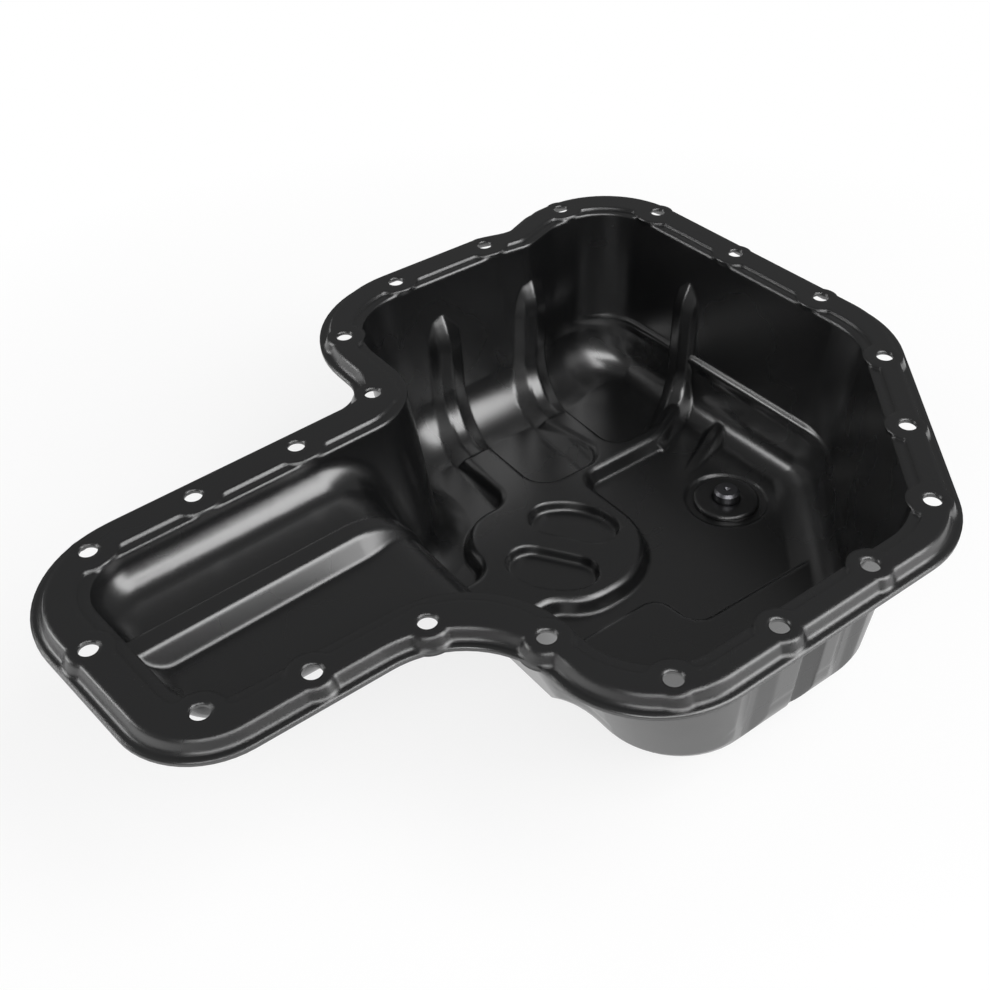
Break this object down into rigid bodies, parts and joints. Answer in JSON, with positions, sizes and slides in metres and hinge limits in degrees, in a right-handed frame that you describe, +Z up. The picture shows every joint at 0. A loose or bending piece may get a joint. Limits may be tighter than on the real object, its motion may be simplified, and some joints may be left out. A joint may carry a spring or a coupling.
{
  "type": "engine oil pan",
  "caption": "Pressed steel engine oil pan with a deep ribbed sump, a shallow side arm, a flat screw flange and a hexagon drain plug.",
  "frame": {"origin": "centre of the overall box in plan, at the lowest face of the drain plug head", "axes": "+Z up, square to the sealing face; +X from the shallow arm towards the sump; +Y across"},
  "size_m": [0.3695, 0.2938, 0.1],
  "materials": {
    "black_coat": "satin black dip coat",
    "coated_nut": "satin black dip coat",
    "gasket_metal": "satin",
    "plug_steel": "dark plated"
  },
  "bodies": {
    "pan": {"pan_stamping": "black_coat", "drain_boss": "coated_nut"},
    "ring": {"drain_gasket": "gasket_metal"},
    "plug": {"drain_plug": "plug_steel"}
  },
  "joints": [
    {"name": "plug_travel", "type": "slide", "parent": "pan", "child": "ring", "axis": [0, 0, -1], "range_m": [0, 0.00875]},
    {"name": "plug_turn", "type": "hinge", "parent": "ring", "child": "plug", "pos_m": [0.1185, -0.0111, 0.0109], "axis": [0, 0, -1], "range_deg": [0, 2524]}
  ],
  "couplings": [
    {"joint": "plug_turn", "follows": "plug_travel", "rad_per_m": 5026.5}
  ]
}
